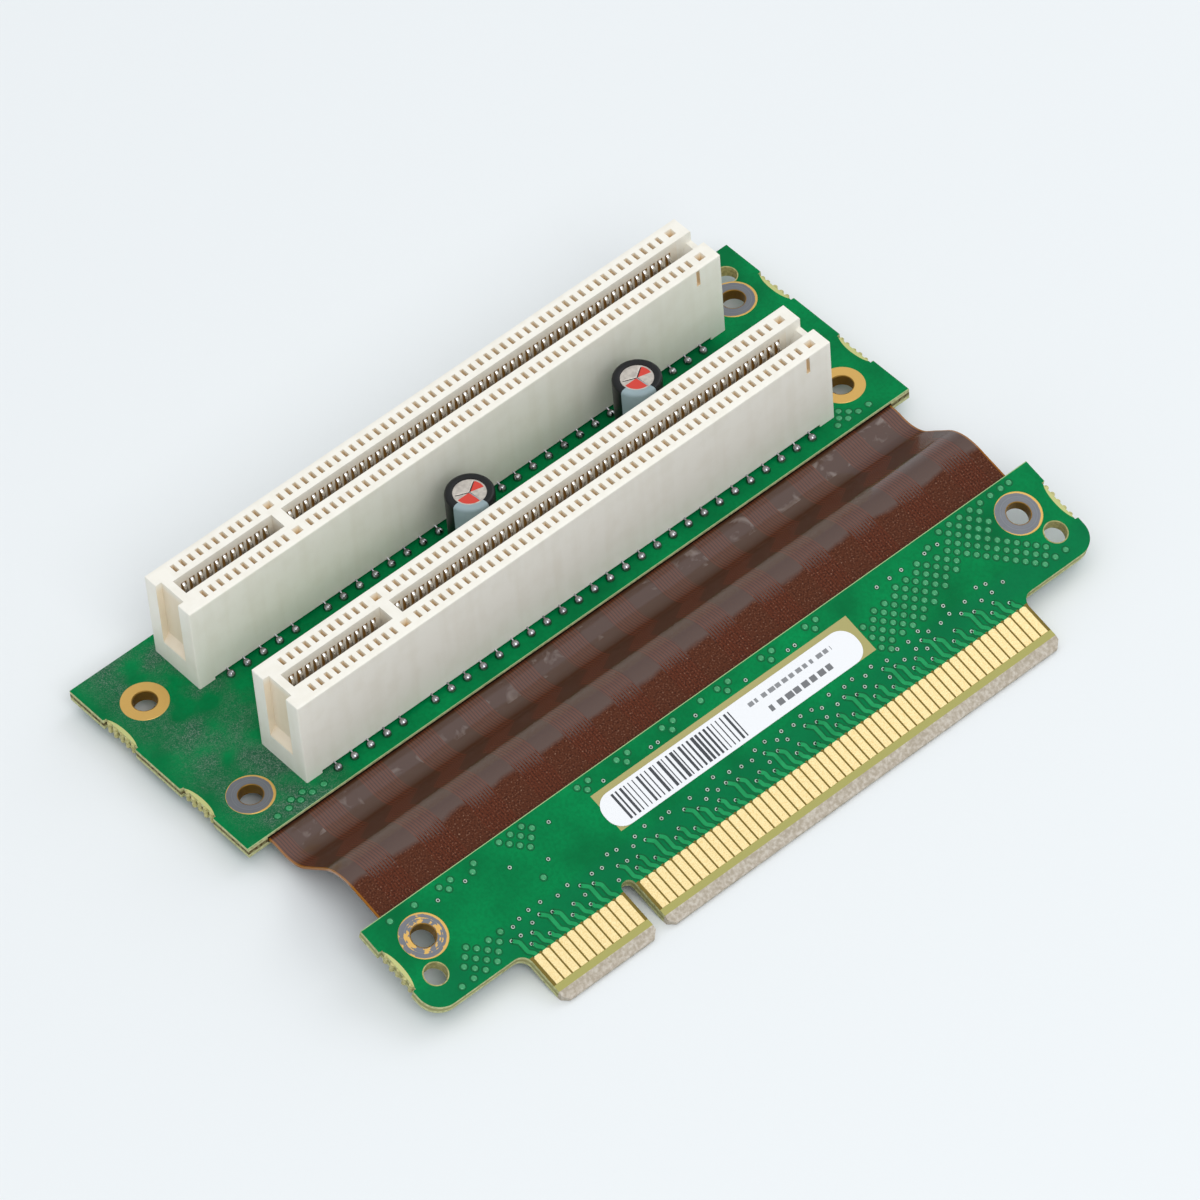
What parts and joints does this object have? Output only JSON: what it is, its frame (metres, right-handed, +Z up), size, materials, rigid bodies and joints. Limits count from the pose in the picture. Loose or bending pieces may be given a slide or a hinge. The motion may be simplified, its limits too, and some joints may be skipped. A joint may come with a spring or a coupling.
{
  "type": "pci riser card",
  "caption": "Rigid-flex riser card: a slot board with expansion slots joined by a bent flexible circuit to an edge board with gold fingers.",
  "frame": {"origin": "under the middle of the card, on the plane that it rests on", "axes": "+X along the slots from the key end, +Y from the edge board to the slot board, +Z up out of the slots"},
  "size_m": [0.1062, 0.0758, 0.0173],
  "materials": {
    "laminate": "green solder mask over glass-fibre laminate",
    "polyimide": "glossy brown polyimide over copper",
    "housing": "ivory moulded plastic",
    "contact": "tin-plated spring metal",
    "solder": "bright solder",
    "gold": "gold plate",
    "can": "drawn aluminium",
    "sleeve": "black shrink sleeve",
    "label": "white label stock"
  },
  "bodies": {
    "root": {"slot_board": "laminate", "edge_board": "laminate", "flex_circuit": "polyimide", "front_slot_housing": "housing", "rear_slot_housing": "housing", "front_slot_front_contacts": "contact", "front_slot_rear_contacts": "contact", "rear_slot_front_contacts": "contact", "rear_slot_rear_contacts": "contact", "front_slot_solder_joints": "solder", "rear_slot_solder_joints": "solder", "left_capacitor_leads": "solder", "right_capacitor_leads": "solder", "top_fingers": "gold", "bottom_fingers": "gold", "left_capacitor_can": "can", "right_capacitor_can": "can", "left_capacitor_sleeve": "sleeve", "right_capacitor_sleeve": "sleeve", "label": "label"}
  },
  "joints": []
}
